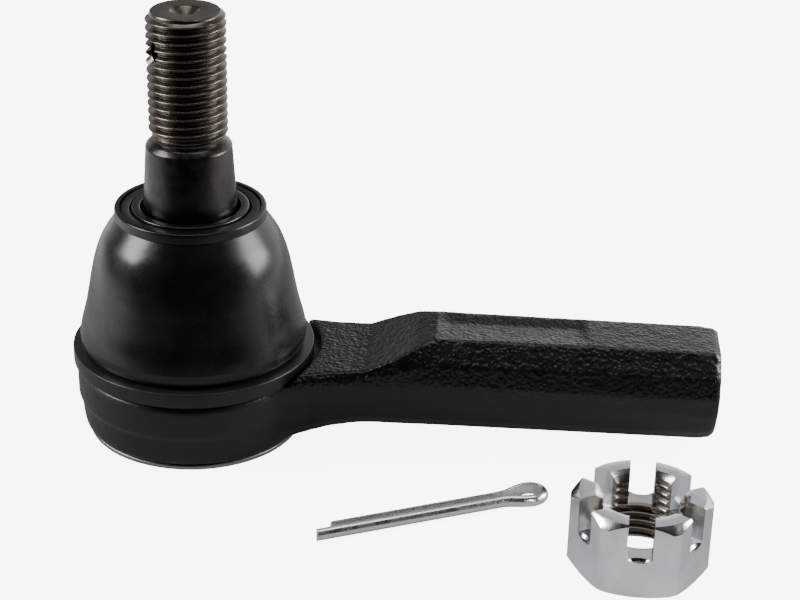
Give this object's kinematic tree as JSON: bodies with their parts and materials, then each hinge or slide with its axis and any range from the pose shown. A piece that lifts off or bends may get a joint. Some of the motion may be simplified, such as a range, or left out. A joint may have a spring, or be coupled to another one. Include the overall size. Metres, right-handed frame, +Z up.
{
  "type": "steering tie rod end",
  "caption": "Outer steering tie rod end: forged ball-joint socket with threaded shank, tapered threaded stud and dust boot, with its slotted nut and split pin lying beside it.",
  "frame": {"origin": "centre of the end cap's underside, on the ball stud's axis at rest", "axes": "+Z up along the ball stud towards its threaded end, +X along the shank towards its open end"},
  "size_m": [0.1172, 0.0735, 0.0789],
  "materials": {
    "cast_paint": "semi-gloss black paint over a rough forged skin",
    "phosphated_steel": "dark phosphated steel, turned taper and rolled thread",
    "upper_seat_resin": "natural bearing resin",
    "lower_seat_resin": "natural bearing resin, greased",
    "spring_steel": "plain spring steel",
    "bare_cap_steel": "bare pressed steel",
    "boot_rubber": "smooth satin black rubber",
    "boot_top_ring_steel": "dark coated steel",
    "boot_foot_ring_steel": "plain steel",
    "bright_zinc_nut": "bright bluish zinc plating",
    "bright_zinc_pin": "bright zinc plated wire"
  },
  "bodies": {
    "socket": {"housing": "cast_paint", "end_cap": "bare_cap_steel", "preload_disc_spring": "spring_steel", "lower_ball_seat": "lower_seat_resin", "upper_ball_seat": "upper_seat_resin", "boot_foot_press_ring": "boot_foot_ring_steel"},
    "boot": {"dust_boot": "boot_rubber"},
    "boot_top": {"boot_top_ring": "boot_top_ring_steel"},
    "stud": {"ball_stud": "phosphated_steel"},
    "loose_nut": {"castle_nut": "bright_zinc_nut"},
    "loose_pin": {"cotter_pin": "bright_zinc_pin"}
  },
  "joints": [
    {"name": "stud_swing_across", "type": "hinge", "parent": "socket", "child": "boot", "pos_m": [0, 0, 0.016], "axis": [1, 0, 0], "range_deg": [-20, 20], "deforming": ["dust_boot"]},
    {"name": "stud_swing_along", "type": "hinge", "parent": "boot", "child": "boot_top", "pos_m": [0, 0, 0.016], "axis": [0, 1, 0], "range_deg": [-20, 20]},
    {"name": "stud_spin", "type": "hinge", "parent": "boot_top", "child": "stud", "pos_m": [0, 0, 0.016], "axis": [0, 0, 1], "continuous": true},
    {"name": "nut_lift", "type": "slide", "parent": "socket", "child": "loose_nut", "axis": [0, 0, 1], "range_m": [0, 0.1]},
    {"name": "pin_lift", "type": "slide", "parent": "socket", "child": "loose_pin", "axis": [0, 0, 1], "range_m": [0, 0.1]}
  ]
}
